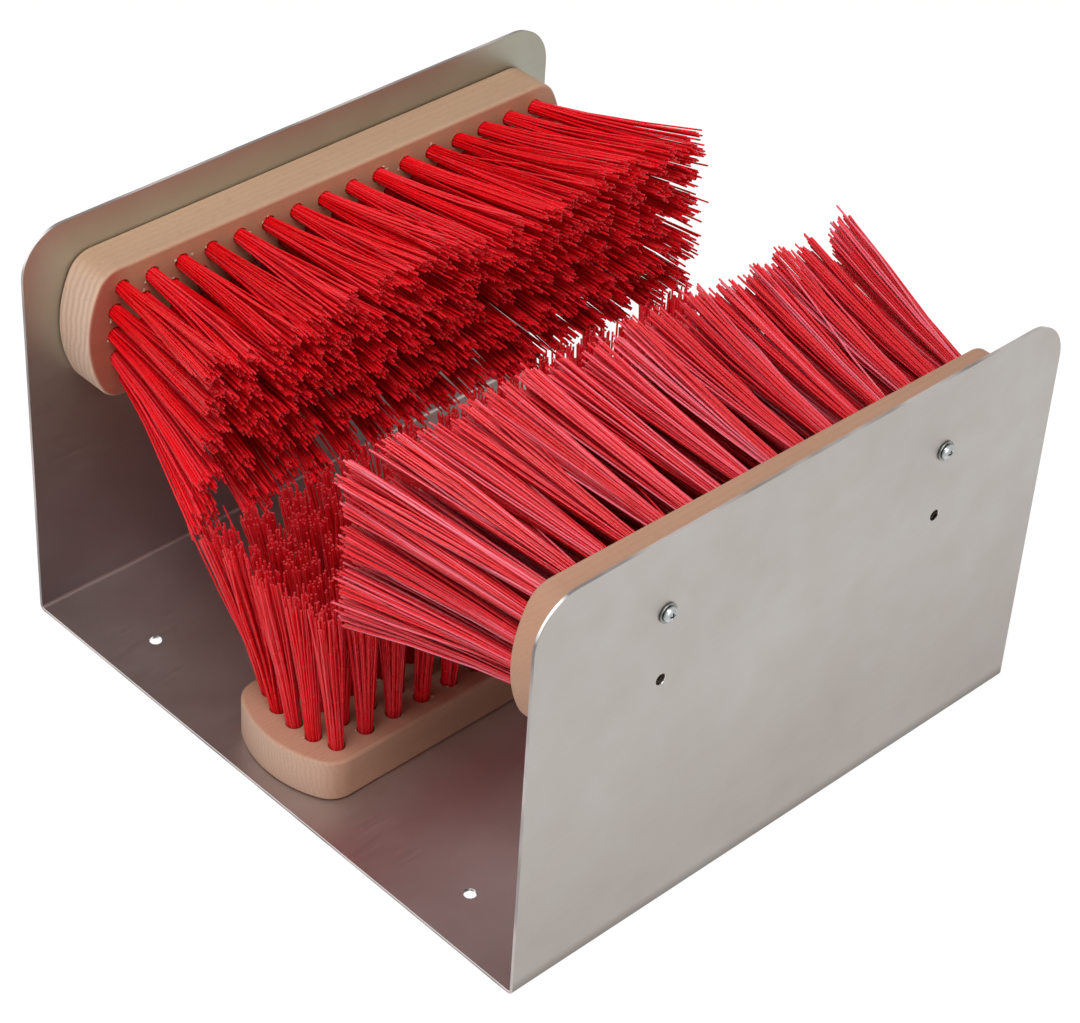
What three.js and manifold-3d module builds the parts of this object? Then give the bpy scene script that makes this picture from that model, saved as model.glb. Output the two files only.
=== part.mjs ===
// Boot scraper: a bent stainless sheet channel that holds three wooden brushes with red plastic
// bristles, one on each side plate and one on the base, so that a boot pushed in between them
// is brushed on its sole and on both sides.
//
// Millimetres. X runs across the channel, Y along it with the front at -Y, Z up. The origin is
// on the floor, under the middle of the channel.

import * as THREE from 'three';
import { mergeVertices } from 'three/addons/utils/BufferGeometryUtils.js';
import Module from 'manifold-3d';

const wasm = await Module();
wasm.setup();

// Channel, one bent sheet
const CHANNEL_WIDTH = 312; // over the outer faces of the side plates
const CHANNEL_LENGTH = 300;
const PLATE_HEIGHT = 198; // from the floor to the top edges
const SHEET_THICKNESS = 1.5;
const FOLD_RADIUS = 3; // outside of the two folds
const PLATE_CORNER_RADIUS = 22; // upper corners of both side plates

// Screw holes in the sheet
const SIDE_HOLE_SPACING = 160; // between the front and rear holes of a plate
const SIDE_HOLE_HEIGHT = 160.5; // holes in use
const SPARE_HOLE_DROP = 33.5; // how far below them the spare holes are
const SPARE_HOLE_DIAMETER = 5;
const SHANK_CLEARANCE = 0.75; // round a screw that passes through the sheet
const BASE_HOLE_SPACING = 160; // between the two countersunk holes under the bottom brush
const FLOOR_HOLE_DIAMETER = 5.5; // four holes for screwing the scraper down
const FLOOR_HOLE_EDGE_X = 52; // from a plate's outer face to the hole centres
const FLOOR_HOLE_EDGE_Y = 25; // from the front and rear edges to the hole centres

// Brush blocks, three alike
const BLOCK_LENGTH = 275;
const BLOCK_WIDTH = 65;
const BLOCK_THICKNESS = 21;
const BLOCK_END_RADIUS = 55; // crown of each end
const BLOCK_CORNER_RADIUS = 13; // where an end runs into a long side
const BLOCK_EDGE_RADIUS = 1.5; // rounding along both faces
const FACE_LAYER = 3; // the slice of the block that the bristles are set in

// Where the blocks are screwed on
const LEFT_BRUSH_Y = 4;
const LEFT_BRUSH_HEIGHT = 148.5; // of the block's middle line
const RIGHT_BRUSH_Y = -2.5;
const RIGHT_BRUSH_HEIGHT = 151;
const RIGHT_BRUSH_TURN = 1; // degrees, with its front end higher
const BOTTOM_BRUSH_X = -4;
const BOTTOM_BRUSH_Y = -5;

// Tufts
const OUTER_ROW_OFFSET = 22; // from the block's middle line
const INNER_ROW_OFFSET = 11.5;
const OUTER_ROW_LENGTH = 237;
const INNER_ROW_LENGTH = 245;
const MIDDLE_ROW_LENGTH = 246.6;
const OUTER_ROW_TUFTS = 16;
const INNER_ROW_TUFTS = 17;
const MIDDLE_ROW_TUFTS = 16;
const BRISTLE_LENGTH = 89; // from the block's face to the trimmed ends
const RAGGED_ENDS = 2; // how far the ends stand above and below that
const STRAND_RADIUS = 1.9; // out to the corners of its three-sided section
const STRAND_FOOT_OFFSET = 1.7; // two strands a tuft, each this far from its middle
const STRAND_TIP_OFFSET = 3.5;
const SIDE_SPLAY_ACROSS = 10.5; // how far the outer rows lean out at the ends
const SIDE_SPLAY_ALONG = 19; // and the end tufts
const BOTTOM_SPLAY_ACROSS = 14;
const BOTTOM_SPLAY_ALONG = 17;
const SIDE_TIP_HEIGHT = 155; // middle of the side brushes' ends, which the bottom brush holds up
const LEFT_TIP_Y = -0.5;
const RIGHT_TIP_Y = -3;

// Fasteners
const SEAT_GAP = 0.2; // between pieces that rest on each other
const PILOT_GAP = 0.3; // round a shank in the wood
const SPARE_PILOT_DEPTH = 8; // drilled into the wood behind the spare holes
const SHANK_DIAMETER = 3.5;
const SHANK_LENGTH = 16; // below a pan head
const SHANK_POINT = 4; // its pointed end
const PAN_HEAD_DIAMETER = 7;
const PAN_HEAD_HEIGHT = 2.2;
const PAN_HEAD_RIM = 0.7; // straight stretch under the dome
const WASHER_DIAMETER = 9;
const WASHER_BORE = 4.3;
const WASHER_THICKNESS = 0.8;
const FLAT_HEAD_DIAMETER = 7; // countersunk, under the base
const FLAT_SHANK_LENGTH = 15; // under the base, with its head
const RECESS_WIDTH = 1; // cross recess
const RECESS_SPAN = 3.8;
const RECESS_DEPTH = 1.4;

// Facets
const FOLD_FACETS = 5;
const CORNER_FACETS = 9;
const HOLE_FACETS = 16;
const BLOCK_ARC_FACETS = 6;
const BLOCK_EDGE_FACETS = 2;
const FASTENER_FACETS = 16;
const DOME_FACETS = 4;
const STRAND_SIDES = 3;

// Allowances of the modelling, not sizes of the object
const CUT_OVERSHOOT = 5; // how far a cutter runs past what it cuts
const ROOT_DEPTH = 1; // how far a strand reaches into the face layer
const SHARPEST_FOLD = 0.1; // least inside radius, should the sheet be as thick as the fold
const SCATTER_STEP = 12.9898; // any two large uneven numbers scatter the ends
const SCATTER_REACH = 43758.5453;

const STAINLESS = { color: 0xb7b1ab, roughness: 0.42, metalness: 0.85 };
const BEECH = { color: 0xc9a787, roughness: 0.7, metalness: 0 };
const BRISTLE_RED = { color: 0xd4131f, roughness: 0.35, metalness: 0 };
const ZINC = { color: 0xc4c6c8, roughness: 0.3, metalness: 0.9 };

// Solids and geometries

// A solid for cutting and joining, from a closed geometry
function solidOf(geometry) {
  const bare = geometry.clone();
  bare.deleteAttribute('normal');
  bare.deleteAttribute('uv');
  const merged = mergeVertices(bare);
  const index = merged.index.array;
  const kept = [];
  for (let i = 0; i < index.length; i += 3) {
    const [a, b, c] = [index[i], index[i + 1], index[i + 2]];
    if (a !== b && b !== c && c !== a) kept.push(a, b, c);
  }
  const vertProperties = new Float32Array(merged.attributes.position.array);
  const triVerts = new Uint32Array(kept);
  return new wasm.Manifold(new wasm.Mesh({ numProp: 3, vertProperties, triVerts }));
}

function geometryOf(solid) {
  const { vertProperties, triVerts } = solid.getMesh();
  const geometry = new THREE.BufferGeometry();
  geometry.setAttribute('position', new THREE.BufferAttribute(vertProperties, 3));
  geometry.setIndex(new THREE.BufferAttribute(triVerts, 1));
  const flat = geometry.toNonIndexed();
  flat.computeVertexNormals();
  return flat;
}

function joined(solids) {
  return solids.reduce((whole, solid) => whole.add(solid));
}

// A mesh with a name and a finish, flat shaded from its own facets
function piece(name, solid, finish) {
  const mesh = new THREE.Mesh(geometryOf(solid), new THREE.MeshStandardMaterial(finish));
  mesh.name = name;
  return mesh;
}

// Extrudes a shape drawn in XZ along Y, centred on the origin
function alongY(shape, length, curveSegments) {
  const geometry = new THREE.ExtrudeGeometry(shape, { depth: length, bevelEnabled: false, curveSegments });
  const turned = new THREE.Matrix4().makeBasis(
    new THREE.Vector3(1, 0, 0),
    new THREE.Vector3(0, 0, 1),
    new THREE.Vector3(0, -1, 0),
  );
  return geometry.applyMatrix4(turned).translate(0, length / 2, 0);
}

// Extrudes a shape drawn in YZ along X, centred on the origin
function alongX(shape, length, curveSegments) {
  const geometry = new THREE.ExtrudeGeometry(shape, { depth: length, bevelEnabled: false, curveSegments });
  const turned = new THREE.Matrix4().makeBasis(
    new THREE.Vector3(0, 1, 0),
    new THREE.Vector3(0, 0, 1),
    new THREE.Vector3(1, 0, 0),
  );
  return geometry.applyMatrix4(turned).translate(-length / 2, 0, 0);
}

// Revolves [radius, height] points about Z
function revolved(points) {
  const profile = points.map(([radius, height]) => new THREE.Vector2(radius, height));
  return new THREE.LatheGeometry(profile, FASTENER_FACETS).rotateX(Math.PI / 2);
}

// A round cutter along Z, from one height to another
function rod(radius, low, high) {
  const geometry = new THREE.CylinderGeometry(radius, radius, high - low, HOLE_FACETS);
  return geometry.rotateX(Math.PI / 2).translate(0, 0, (low + high) / 2);
}

// Channel

const HALF_WIDTH = CHANNEL_WIDTH / 2;
const HALF_LENGTH = CHANNEL_LENGTH / 2;
const FLAT_HEAD_HEIGHT = (FLAT_HEAD_DIAMETER - SHANK_DIAMETER) / 2;

// The sheet's section: both plates and the base, with round folds inside and out
function channelSection() {
  const inner = HALF_WIDTH - SHEET_THICKNESS;
  const innerRadius = Math.max(FOLD_RADIUS - SHEET_THICKNESS, SHARPEST_FOLD);
  const foldX = HALF_WIDTH - FOLD_RADIUS;
  const section = new THREE.Shape();
  section.moveTo(-HALF_WIDTH, PLATE_HEIGHT);
  section.absarc(-foldX, FOLD_RADIUS, FOLD_RADIUS, Math.PI, 1.5 * Math.PI);
  section.absarc(foldX, FOLD_RADIUS, FOLD_RADIUS, 1.5 * Math.PI, 2 * Math.PI);
  section.lineTo(HALF_WIDTH, PLATE_HEIGHT);
  section.lineTo(inner, PLATE_HEIGHT);
  section.absarc(
    inner - innerRadius,
    SHEET_THICKNESS + innerRadius,
    innerRadius,
    2 * Math.PI,
    1.5 * Math.PI,
    true,
  );
  section.absarc(
    -inner + innerRadius,
    SHEET_THICKNESS + innerRadius,
    innerRadius,
    1.5 * Math.PI,
    Math.PI,
    true,
  );
  section.lineTo(-inner, PLATE_HEIGHT);
  return section;
}

// A side plate seen from its side, with its two round upper corners
function plateOutline() {
  const cornerY = HALF_LENGTH - PLATE_CORNER_RADIUS;
  const cornerZ = PLATE_HEIGHT - PLATE_CORNER_RADIUS;
  const outline = new THREE.Shape();
  outline.moveTo(-HALF_LENGTH, -CUT_OVERSHOOT);
  outline.lineTo(HALF_LENGTH, -CUT_OVERSHOOT);
  outline.absarc(cornerY, cornerZ, PLATE_CORNER_RADIUS, 0, Math.PI / 2);
  outline.absarc(-cornerY, cornerZ, PLATE_CORNER_RADIUS, Math.PI / 2, Math.PI);
  return outline;
}

// Where each kind of hole is, from the sizes of the sheet
const SIDE_HOLE_YS = [-SIDE_HOLE_SPACING / 2, SIDE_HOLE_SPACING / 2];
const BASE_HOLE_YS = [-BASE_HOLE_SPACING / 2, BASE_HOLE_SPACING / 2];
const FLOOR_HOLE_X = HALF_WIDTH - FLOOR_HOLE_EDGE_X;
const FLOOR_HOLE_Y = HALF_LENGTH - FLOOR_HOLE_EDGE_Y;

function channelHoles() {
  const cutters = [];
  const across = HALF_WIDTH + CUT_OVERSHOOT;
  const through = SHEET_THICKNESS + CUT_OVERSHOOT;
  for (const y of SIDE_HOLE_YS) {
    const used = rod(SHANK_DIAMETER / 2 + SHANK_CLEARANCE, -across, across);
    cutters.push(used.rotateY(Math.PI / 2).translate(0, y, SIDE_HOLE_HEIGHT));
    const spare = rod(SPARE_HOLE_DIAMETER / 2, -across, across);
    cutters.push(spare.rotateY(Math.PI / 2).translate(0, y, SIDE_HOLE_HEIGHT - SPARE_HOLE_DROP));
  }
  for (const x of [-FLOOR_HOLE_X, FLOOR_HOLE_X]) {
    for (const y of [-FLOOR_HOLE_Y, FLOOR_HOLE_Y]) {
      cutters.push(rod(FLOOR_HOLE_DIAMETER / 2, -CUT_OVERSHOOT, through).translate(x, y, 0));
    }
  }
  for (const y of BASE_HOLE_YS) {
    cutters.push(countersink(PILOT_GAP, through).translate(0, y, 0));
  }
  return joined(cutters.map(solidOf));
}

// The space round a countersunk screw that stands point up on the floor
function countersink(gap, top) {
  const wide = FLAT_HEAD_DIAMETER / 2 + gap;
  const narrow = SHANK_DIAMETER / 2 + gap;
  return revolved([
    [0, -CUT_OVERSHOOT],
    [wide, -CUT_OVERSHOOT],
    [wide, 0],
    [narrow, FLAT_HEAD_HEIGHT],
    [narrow, top],
    [0, top],
  ]);
}

function channelSolid() {
  const bent = solidOf(alongY(channelSection(), CHANNEL_LENGTH, FOLD_FACETS));
  const cut = solidOf(alongX(plateOutline(), CHANNEL_WIDTH + 2 * CUT_OVERSHOOT, CORNER_FACETS));
  return bent.intersect(cut).subtract(channelHoles());
}

// Brush blocks. A brush is made with X across it, Y along it and Z from its back to its bristles.

// The block's outline: straight sides, crowned ends and round corners, all tangent to each other
function blockOutline() {
  const crownY = BLOCK_LENGTH / 2 - BLOCK_END_RADIUS;
  const cornerX = BLOCK_WIDTH / 2 - BLOCK_CORNER_RADIUS;
  const reach = BLOCK_END_RADIUS - BLOCK_CORNER_RADIUS;
  const turn = Math.asin(cornerX / reach);
  const cornerY = crownY + reach * Math.cos(turn);
  const quarter = Math.PI / 2;
  const outline = new THREE.Shape();
  outline.absarc(cornerX, cornerY, BLOCK_CORNER_RADIUS, 0, quarter - turn);
  outline.absarc(0, crownY, BLOCK_END_RADIUS, quarter - turn, quarter + turn);
  outline.absarc(-cornerX, cornerY, BLOCK_CORNER_RADIUS, quarter + turn, 2 * quarter);
  outline.absarc(-cornerX, -cornerY, BLOCK_CORNER_RADIUS, 2 * quarter, 3 * quarter - turn);
  outline.absarc(0, -crownY, BLOCK_END_RADIUS, 3 * quarter - turn, 3 * quarter + turn);
  outline.absarc(cornerX, -cornerY, BLOCK_CORNER_RADIUS, 3 * quarter + turn, 4 * quarter);
  return outline;
}

function wholeBlock() {
  const geometry = new THREE.ExtrudeGeometry(blockOutline(), {
    depth: BLOCK_THICKNESS - 2 * BLOCK_EDGE_RADIUS,
    bevelThickness: BLOCK_EDGE_RADIUS,
    bevelSize: BLOCK_EDGE_RADIUS,
    bevelOffset: -BLOCK_EDGE_RADIUS,
    bevelSegments: BLOCK_EDGE_FACETS,
    curveSegments: BLOCK_ARC_FACETS,
  });
  return solidOf(geometry.translate(0, 0, BLOCK_EDGE_RADIUS));
}

const BODY_THICKNESS = BLOCK_THICKNESS - FACE_LAYER;

// Everything of a brush above the joint between the block's body and its face layer
function faceSpace() {
  const width = BLOCK_WIDTH + 2 * CUT_OVERSHOOT;
  const length = BLOCK_LENGTH + 2 * CUT_OVERSHOOT;
  const height = FACE_LAYER + CUT_OVERSHOOT;
  const box = new THREE.BoxGeometry(width, length, height);
  return solidOf(box.translate(0, 0, BODY_THICKNESS + height / 2));
}

// The block's body, with a pilot hole for each screw at [x, y] on its back
function blockSolid(pilots) {
  const holes = pilots.map((pilot) => solidOf(pilot));
  return wholeBlock().subtract(faceSpace()).subtract(joined(holes));
}

// A pilot hole for a pan head screw, whose shank starts outside the sheet
function sidePilot(x, y) {
  const depth = SHANK_LENGTH - SHEET_THICKNESS - WASHER_THICKNESS - SEAT_GAP;
  return rod(SHANK_DIAMETER / 2 + PILOT_GAP, -CUT_OVERSHOOT, depth + PILOT_GAP).translate(x, y, 0);
}

// The hole in the wood behind a spare hole, as wide as that one
function sparePilot(x, y) {
  return rod(SPARE_HOLE_DIAMETER / 2, -CUT_OVERSHOOT, SPARE_PILOT_DEPTH).translate(x, y, 0);
}

// A pilot hole for a countersunk screw, whose cone reaches through the thin sheet into the wood
function basePilot(x, y) {
  const back = SHEET_THICKNESS + SEAT_GAP;
  return countersink(PILOT_GAP, FLAT_SHANK_LENGTH + PILOT_GAP).translate(x, y, -back);
}

// Bristles

// Middles of a row's tufts, evenly spaced along the block
function row(x, length, count) {
  const tufts = [];
  for (let i = 0; i < count; i += 1) {
    tufts.push([x, (i / (count - 1) - 0.5) * length]);
  }
  return tufts;
}

function tuftMiddles() {
  const middles = row(0, MIDDLE_ROW_LENGTH, MIDDLE_ROW_TUFTS);
  for (const side of [-1, 1]) {
    middles.push(...row(side * INNER_ROW_OFFSET, INNER_ROW_LENGTH, INNER_ROW_TUFTS));
    middles.push(...row(side * OUTER_ROW_OFFSET, OUTER_ROW_LENGTH, OUTER_ROW_TUFTS));
  }
  return middles;
}

// Uneven but repeatable, from -1 to 1
function scatter(number) {
  const wave = Math.sin(number * SCATTER_STEP) * SCATTER_REACH;
  return 2 * (wave - Math.floor(wave)) - 1;
}

// Where each strand leaves the block's face, and where it would meet the plane of the trimmed
// ends. The whole brush opens out in proportion, so that no two strands can cross.
function strands([splayAcross, splayAlong], [shiftX, shiftY]) {
  const list = [];
  const wider = 1 + splayAcross / OUTER_ROW_OFFSET;
  const longer = 1 + (2 * splayAlong) / MIDDLE_ROW_LENGTH;
  for (const [x, y] of tuftMiddles()) {
    for (const side of [-1, 1]) {
      list.push({
        foot: [x + side * STRAND_FOOT_OFFSET, y],
        tip: [x * wider + shiftX + side * STRAND_TIP_OFFSET, y * longer + shiftY],
        length: BRISTLE_LENGTH + RAGGED_ENDS * scatter(list.length + 1),
      });
    }
  }
  return list;
}

// One closed prism a strand, from inside the face layer to its ragged end
function strandsSolid(splay, shift) {
  const corners = [];
  const faces = [];
  for (const { foot, tip, length } of strands(splay, shift)) {
    const first = corners.length / 3;
    for (const height of [-ROOT_DEPTH, length]) {
      const along = height / BRISTLE_LENGTH;
      const middleX = foot[0] + (tip[0] - foot[0]) * along;
      const middleY = foot[1] + (tip[1] - foot[1]) * along;
      for (let side = 0; side < STRAND_SIDES; side += 1) {
        const angle = (2 * Math.PI * side) / STRAND_SIDES;
        corners.push(middleX + STRAND_RADIUS * Math.cos(angle));
        corners.push(middleY + STRAND_RADIUS * Math.sin(angle));
        corners.push(BLOCK_THICKNESS + height);
      }
    }
    for (let side = 0; side < STRAND_SIDES; side += 1) {
      const low = first + side;
      const nextLow = first + ((side + 1) % STRAND_SIDES);
      faces.push(low, nextLow, nextLow + STRAND_SIDES, low, nextLow + STRAND_SIDES, low + STRAND_SIDES);
    }
    for (let side = 1; side < STRAND_SIDES - 1; side += 1) {
      faces.push(first, first + side + 1, first + side);
      const top = first + STRAND_SIDES;
      faces.push(top, top + side, top + side + 1);
    }
  }
  const geometry = new THREE.BufferGeometry();
  geometry.setAttribute('position', new THREE.Float32BufferAttribute(corners, 3));
  geometry.setIndex(faces);
  return solidOf(geometry);
}

// The bristles, fused to the slice of the block that they are set in
function bristlesSolid(splay, shift) {
  return wholeBlock().intersect(faceSpace()).add(strandsSolid(splay, shift));
}

// The face layer is wood and all above it is plastic, so the piece is coloured by height
function bristlesPiece(name, splay, shift) {
  const finish = { ...BRISTLE_RED, color: 0xffffff, vertexColors: true };
  const mesh = piece(name, bristlesSolid(splay, shift), finish);
  const position = mesh.geometry.attributes.position;
  const wood = new THREE.Color(BEECH.color);
  const plastic = new THREE.Color(BRISTLE_RED.color);
  const colours = [];
  for (let i = 0; i < position.count; i += 3) {
    const heights = [position.getZ(i), position.getZ(i + 1), position.getZ(i + 2)];
    const colour = Math.max(...heights) > BLOCK_THICKNESS + ROOT_DEPTH / 2 ? plastic : wood;
    for (let corner = 0; corner < 3; corner += 1) colours.push(colour.r, colour.g, colour.b);
  }
  mesh.geometry.setAttribute('color', new THREE.Float32BufferAttribute(colours, 3));
  return mesh;
}

// A block and its bristles, as a group that its caller places
function brush(name, pilots, splay, shift) {
  const group = new THREE.Group();
  group.add(piece(`${name}_brush_block`, blockSolid(pilots), BEECH));
  group.add(bristlesPiece(`${name}_bristles`, splay, shift));
  return group;
}

// Fasteners. Each is made with its head towards +Z and the face that it bears on at Z = 0.

function crossRecess(top) {
  const cutters = [];
  for (const [x, y] of [[RECESS_SPAN, RECESS_WIDTH], [RECESS_WIDTH, RECESS_SPAN]]) {
    const height = RECESS_DEPTH + CUT_OVERSHOOT;
    const bar = new THREE.BoxGeometry(x, y, height);
    cutters.push(solidOf(bar.translate(0, 0, top - RECESS_DEPTH + height / 2)));
  }
  return joined(cutters);
}

function washerSolid() {
  return solidOf(
    revolved([
      [WASHER_BORE / 2, 0],
      [WASHER_DIAMETER / 2, 0],
      [WASHER_DIAMETER / 2, WASHER_THICKNESS],
      [WASHER_BORE / 2, WASHER_THICKNESS],
      [WASHER_BORE / 2, 0],
    ]),
  );
}

// A domed head over a plain shank with a point
function panScrewSolid() {
  const shank = SHANK_DIAMETER / 2;
  const rim = PAN_HEAD_DIAMETER / 2;
  const points = [
    [0, -SHANK_LENGTH],
    [shank, SHANK_POINT - SHANK_LENGTH],
    [shank, 0],
    [rim, 0],
    [rim, PAN_HEAD_RIM],
  ];
  for (let i = 1; i <= DOME_FACETS; i += 1) {
    const angle = (i / DOME_FACETS) * (Math.PI / 2);
    const height = PAN_HEAD_RIM + (PAN_HEAD_HEIGHT - PAN_HEAD_RIM) * Math.sin(angle);
    points.push([i === DOME_FACETS ? 0 : rim * Math.cos(angle), height]);
  }
  return solidOf(revolved(points)).subtract(crossRecess(PAN_HEAD_HEIGHT));
}

// A flush head, whose flat top is at Z = 0
function flatScrewSolid() {
  const shank = SHANK_DIAMETER / 2;
  const points = [
    [0, -FLAT_SHANK_LENGTH],
    [shank, SHANK_POINT - FLAT_SHANK_LENGTH],
    [shank, -FLAT_HEAD_HEIGHT],
    [FLAT_HEAD_DIAMETER / 2, 0],
    [0, 0],
  ];
  return solidOf(revolved(points)).subtract(crossRecess(0));
}

// Assembly

const scraper = new THREE.Group();
scraper.add(piece('channel', channelSolid(), STAINLESS));

// The side brushes lie on the inner faces of the plates. The left one is turned by a quarter
// turn one way and the right one the other way, so their X axes point down and up.
for (const [name, side, y, height, turn, tipY] of [
  ['left', -1, LEFT_BRUSH_Y, LEFT_BRUSH_HEIGHT, 0, LEFT_TIP_Y],
  ['right', 1, RIGHT_BRUSH_Y, RIGHT_BRUSH_HEIGHT, RIGHT_BRUSH_TURN, RIGHT_TIP_Y],
]) {
  const angle = THREE.MathUtils.degToRad(turn);
  const middle = new THREE.Vector2(0, 0);
  // A point of the plate in the brush's own axes, from the middle of its back
  const own = (pointY, pointZ) => {
    const point = new THREE.Vector2(side * (pointZ - height), pointY - y);
    return point.rotateAround(middle, -angle).toArray();
  };
  const pilots = SIDE_HOLE_YS.flatMap((holeY) => [
    sidePilot(...own(holeY, SIDE_HOLE_HEIGHT)),
    sparePilot(...own(holeY, SIDE_HOLE_HEIGHT - SPARE_HOLE_DROP)),
  ]);
  const splay = [SIDE_SPLAY_ACROSS, SIDE_SPLAY_ALONG];
  const sideBrush = brush(name, pilots, splay, own(tipY, SIDE_TIP_HEIGHT));
  const back = HALF_WIDTH - SHEET_THICKNESS - SEAT_GAP;
  sideBrush.position.set(side * back, y, height);
  sideBrush.rotation.y = (-side * Math.PI) / 2;
  sideBrush.rotateZ(angle);
  scraper.add(sideBrush);

  for (const [end, holeY] of [['front', SIDE_HOLE_YS[0]], ['rear', SIDE_HOLE_YS[1]]]) {
    const fastener = new THREE.Group();
    const washer = piece(`${name}_washer_${end}`, washerSolid(), ZINC);
    const screw = piece(`${name}_screw_${end}`, panScrewSolid(), ZINC);
    washer.position.z = SEAT_GAP;
    screw.position.z = SEAT_GAP + WASHER_THICKNESS + SEAT_GAP;
    fastener.add(washer, screw);
    fastener.position.set(side * HALF_WIDTH, holeY, SIDE_HOLE_HEIGHT);
    fastener.rotation.y = (side * Math.PI) / 2;
    scraper.add(fastener);
  }
}

// The bottom brush stands on the base, held by two countersunk screws from beneath
const basePilots = BASE_HOLE_YS.map((y) => basePilot(-BOTTOM_BRUSH_X, y - BOTTOM_BRUSH_Y));
const bottomSplay = [BOTTOM_SPLAY_ACROSS, BOTTOM_SPLAY_ALONG];
const bottomBrush = brush('bottom', basePilots, bottomSplay, [0, 0]);
bottomBrush.position.set(BOTTOM_BRUSH_X, BOTTOM_BRUSH_Y, SHEET_THICKNESS + SEAT_GAP);
scraper.add(bottomBrush);

for (const [end, y] of [['front', BASE_HOLE_YS[0]], ['rear', BASE_HOLE_YS[1]]]) {
  const screw = piece(`base_screw_${end}`, flatScrewSolid(), ZINC);
  screw.position.set(0, y, SEAT_GAP);
  screw.rotation.x = Math.PI;
  scraper.add(screw);
}

export default scraper;
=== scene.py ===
"""Boot scraper: three wooden brushes with red plastic bristles, screwed into a bent stainless
sheet channel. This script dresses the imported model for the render.

Sizes are in millimetres until a mesh is made. A brush is made with X across it, Y along it and
Z from its back to the ends of its bristles, and is then turned into its place.
"""

import math

import bmesh
import bpy
import numpy as np
from mathutils import Matrix, Vector
from mathutils.geometry import delaunay_2d_cdt

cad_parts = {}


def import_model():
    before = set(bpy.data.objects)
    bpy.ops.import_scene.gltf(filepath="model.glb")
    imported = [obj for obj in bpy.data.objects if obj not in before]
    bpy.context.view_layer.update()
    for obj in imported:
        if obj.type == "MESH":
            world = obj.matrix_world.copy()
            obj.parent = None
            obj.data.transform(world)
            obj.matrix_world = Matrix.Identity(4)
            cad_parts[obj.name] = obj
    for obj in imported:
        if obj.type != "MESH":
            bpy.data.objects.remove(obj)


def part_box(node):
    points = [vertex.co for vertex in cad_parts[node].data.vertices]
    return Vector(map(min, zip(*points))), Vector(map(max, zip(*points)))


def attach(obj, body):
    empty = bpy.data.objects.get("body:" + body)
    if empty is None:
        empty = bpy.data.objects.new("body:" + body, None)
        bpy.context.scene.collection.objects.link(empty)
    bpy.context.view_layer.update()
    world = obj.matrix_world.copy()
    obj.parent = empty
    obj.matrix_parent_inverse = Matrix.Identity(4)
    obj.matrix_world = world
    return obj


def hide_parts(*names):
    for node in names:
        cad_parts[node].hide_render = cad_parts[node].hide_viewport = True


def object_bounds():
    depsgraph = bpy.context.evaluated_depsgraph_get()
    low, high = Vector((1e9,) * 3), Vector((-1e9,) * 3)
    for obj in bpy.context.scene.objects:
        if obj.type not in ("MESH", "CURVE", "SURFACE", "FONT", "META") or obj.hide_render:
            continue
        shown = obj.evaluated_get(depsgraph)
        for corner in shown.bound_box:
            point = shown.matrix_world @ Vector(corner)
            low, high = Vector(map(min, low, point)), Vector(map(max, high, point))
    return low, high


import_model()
cad_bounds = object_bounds()

MM = 0.001
TOLERANCE = 0.001  # within which points are one point, or on a hole's rim
SQUARE = 0.9999  # a face is square to an axis if this much of its normal is along it
NARROWEST = 1e-6  # that a triangle or a loop is made

# Camera, from the channel's straight edges in the photograph
CAMERA_PLACE = (753.4, -763.1, 909.6)
CAMERA_AIM = (0.0, 7.6, 70.9)
CAMERA_ROLL = 3.75  # degrees, clockwise as seen through it
CAMERA_LENS = 104.06
FRAME_WIDTH = 36
CAMERA_SIGHT = 20  # metres

# Sheet
SHEET_THICKNESS = 1.5
FOLD_RADIUS = 3
PLATE_CORNER_RADIUS = 22
SHEET_BREAK = 0.15  # the cut edges are broken by this much
SIDE_HOLE_SPACING = 160
SIDE_HOLE_HEIGHT = 160.5
SIDE_HOLE_DIAMETER = 5
SPARE_HOLE_DROP = 33.5
SPARE_HOLE_DIAMETER = 5
BASE_HOLE_SPACING = 160
BASE_HOLE_DIAMETER = 7.6  # on the floor's side, where the countersink is widest
FLOOR_HOLE_DIAMETER = 5.5
FLOOR_HOLE_EDGE_X = 52
FLOOR_HOLE_EDGE_Y = 25

# Brush blocks
BLOCK_THICKNESS = 21
END_RADIUS = 55
CORNER_RADIUS = 13
EDGE_RADIUS = 1.5
TUFT_HOLE_RADIUS = 3.75
TUFT_HOLE_DEPTH = 9
TUFT_HOLE_BREAK = 0.25
SPARE_PILOT_DEPTH = 8  # behind the spare holes
RIGHT_BRUSH_TURN = 1  # degrees, with its front end higher
SPLINTER_SHARE = 0.75  # of the tuft holes, which have a torn fibre or two at their rims
SPLINTER_SPREAD = (0.12, 0.3)  # half of a fibre's width at its root, in radians round the hole
SPLINTER_LENGTH = (0.9, 2.3)
SPLINTER_LIFT = (0.4, 1.3)
SPLINTER_CURL = 2.2  # radians of a sine, from its root to its end
SPLINTER_RIDGE = 0.25  # how much higher its middle is than its sides, at its root
SPLINTER_ROOT = (0.15, 0.1)  # how far it starts inside the rim and under the face
SPLINTER_SECTIONS = ((0, 1), (0.5, 0.7), (1, 0.12))  # share of the length, share of the width

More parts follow.
